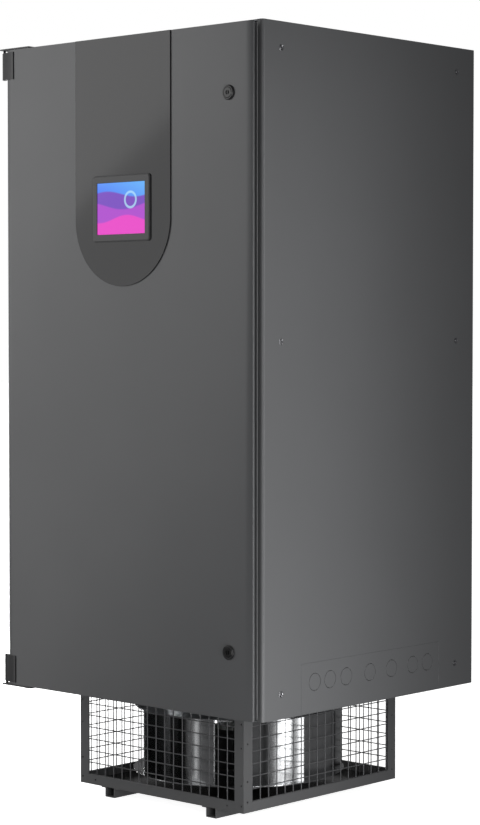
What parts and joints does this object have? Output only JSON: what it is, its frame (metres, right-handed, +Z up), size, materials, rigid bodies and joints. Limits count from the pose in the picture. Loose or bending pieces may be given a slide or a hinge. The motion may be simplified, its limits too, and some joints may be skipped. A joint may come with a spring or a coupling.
{
  "type": "in row cooling unit",
  "caption": "Tall cooling cabinet with a hinged front door, display, coil, compressor and controls inside, and a caged centrifugal fan module under its base.",
  "frame": {"origin": "on the fan's vertical axis, at the underside of the foot rails", "axes": "+Z up, -Y out of the door face (front), +X to the right seen from the front"},
  "size_m": [1.0527, 1.0382, 2.3],
  "materials": {
    "galvanised": "galvanised sheet steel",
    "panel_paint": "fine textured powder coat, satin, dark grey",
    "screw": "dark plated steel",
    "hinge_black": "black painted steel",
    "filter": "pleated synthetic filter cloth in card frames",
    "fins": "aluminium fins",
    "switchgear": "light grey plastic",
    "contactor_plastic": "dark grey plastic",
    "terminal_plastic": "grey plastic",
    "duct_plastic": "grey plastic duct",
    "controller_plastic": "black plastic",
    "vessel_black": "black painted steel",
    "rubber": "rubber",
    "drier_green": "painted steel",
    "brass": "machined brass",
    "copper": "copper pipe, dull",
    "motor": "black painted cast housing",
    "cage_paint": "satin powder coat, dark grey",
    "floor_paint": "glossy black powder coat",
    "wire": "coated welded wire",
    "door_paint": "fine textured powder coat, satin, dark grey",
    "inner_metal": "dark inner pan",
    "seal": "foam rubber",
    "fascia": "smooth glossy dark panel",
    "bezel": "black moulded plastic",
    "screen": "lit colour display under glass",
    "lock_black": "black",
    "lock_metal": "nickel plated zinc",
    "impeller_metal": "rolled aluminium, satin",
    "knob": "red plastic"
  },
  "bodies": {
    "cabinet": {"frame_posts": "galvanised", "base_rails": "galvanised", "top_rails": "galvanised", "side_rails": "galvanised", "base_plate": "galvanised", "side_panel_left": "panel_paint", "side_panel_right": "panel_paint", "cable_entry_plate": "panel_paint", "rear_panels": "panel_paint", "top_grille_cover": "panel_paint", "panel_screws": "screw", "door_frame": "panel_paint", "hinge_brackets": "hinge_black", "lock_keepers": "galvanised", "filter_rack": "galvanised", "air_filters": "filter", "coil_fins": "fins", "coil_end_plates": "galvanised", "drip_tray": "galvanised", "mounting_plate": "galvanised", "breakers": "switchgear", "contactors": "contactor_plastic", "terminal_blocks": "terminal_plastic", "wiring_ducts": "duct_plastic", "controller": "controller_plastic", "isolator_body": "contactor_plastic", "compressor": "vessel_black", "compressor_feet": "rubber", "liquid_receiver": "vessel_black", "filter_drier": "drier_green", "expansion_valve": "brass", "suction_pipe": "copper", "discharge_pipe": "copper", "liquid_pipe": "copper", "inlet_ring": "galvanised", "motor_stator": "motor", "cage_posts": "cage_paint", "cage_bars": "cage_paint", "cage_floor": "floor_paint", "mesh_front": "wire", "mesh_rear": "wire", "mesh_left": "wire", "mesh_right": "wire", "foot_rails": "cage_paint"},
    "door": {"door_skin": "door_paint", "door_liner": "inner_metal", "door_stiffeners": "inner_metal", "door_seal": "seal", "hinge_knuckles": "hinge_black", "display_fascia": "fascia", "display_bezel": "bezel", "display_screen": "screen", "display_box": "galvanised", "lock_housings": "lock_black"},
    "upper_lock": {"upper_lock_insert": "lock_metal"},
    "lower_lock": {"lower_lock_insert": "lock_metal"},
    "fan": {"impeller": "impeller_metal", "fan_rotor": "motor"},
    "isolator_switch": {"isolator_knob": "knob"}
  },
  "joints": [
    {"name": "door_swing", "type": "hinge", "parent": "cabinet", "child": "door", "pos_m": [-0.53, -0.489, 1.315], "axis": [0, 0, -1], "range_deg": [0, 120]},
    {"name": "upper_lock_turn", "type": "hinge", "parent": "door", "child": "upper_lock", "pos_m": [0.4225, -0.501, 2.098], "axis": [0, -1, 0], "range_deg": [0, 90]},
    {"name": "lower_lock_turn", "type": "hinge", "parent": "door", "child": "lower_lock", "pos_m": [0.4225, -0.501, 0.525], "axis": [0, -1, 0], "range_deg": [0, 90]},
    {"name": "fan_spin", "type": "hinge", "parent": "cabinet", "child": "fan", "pos_m": [0, 0, 0.15], "axis": [0, 0, 1], "continuous": true},
    {"name": "isolator_turn", "type": "hinge", "parent": "cabinet", "child": "isolator_switch", "pos_m": [0.33, -0.33, 1.96], "axis": [0, -1, 0], "range_deg": [0, 90]}
  ]
}
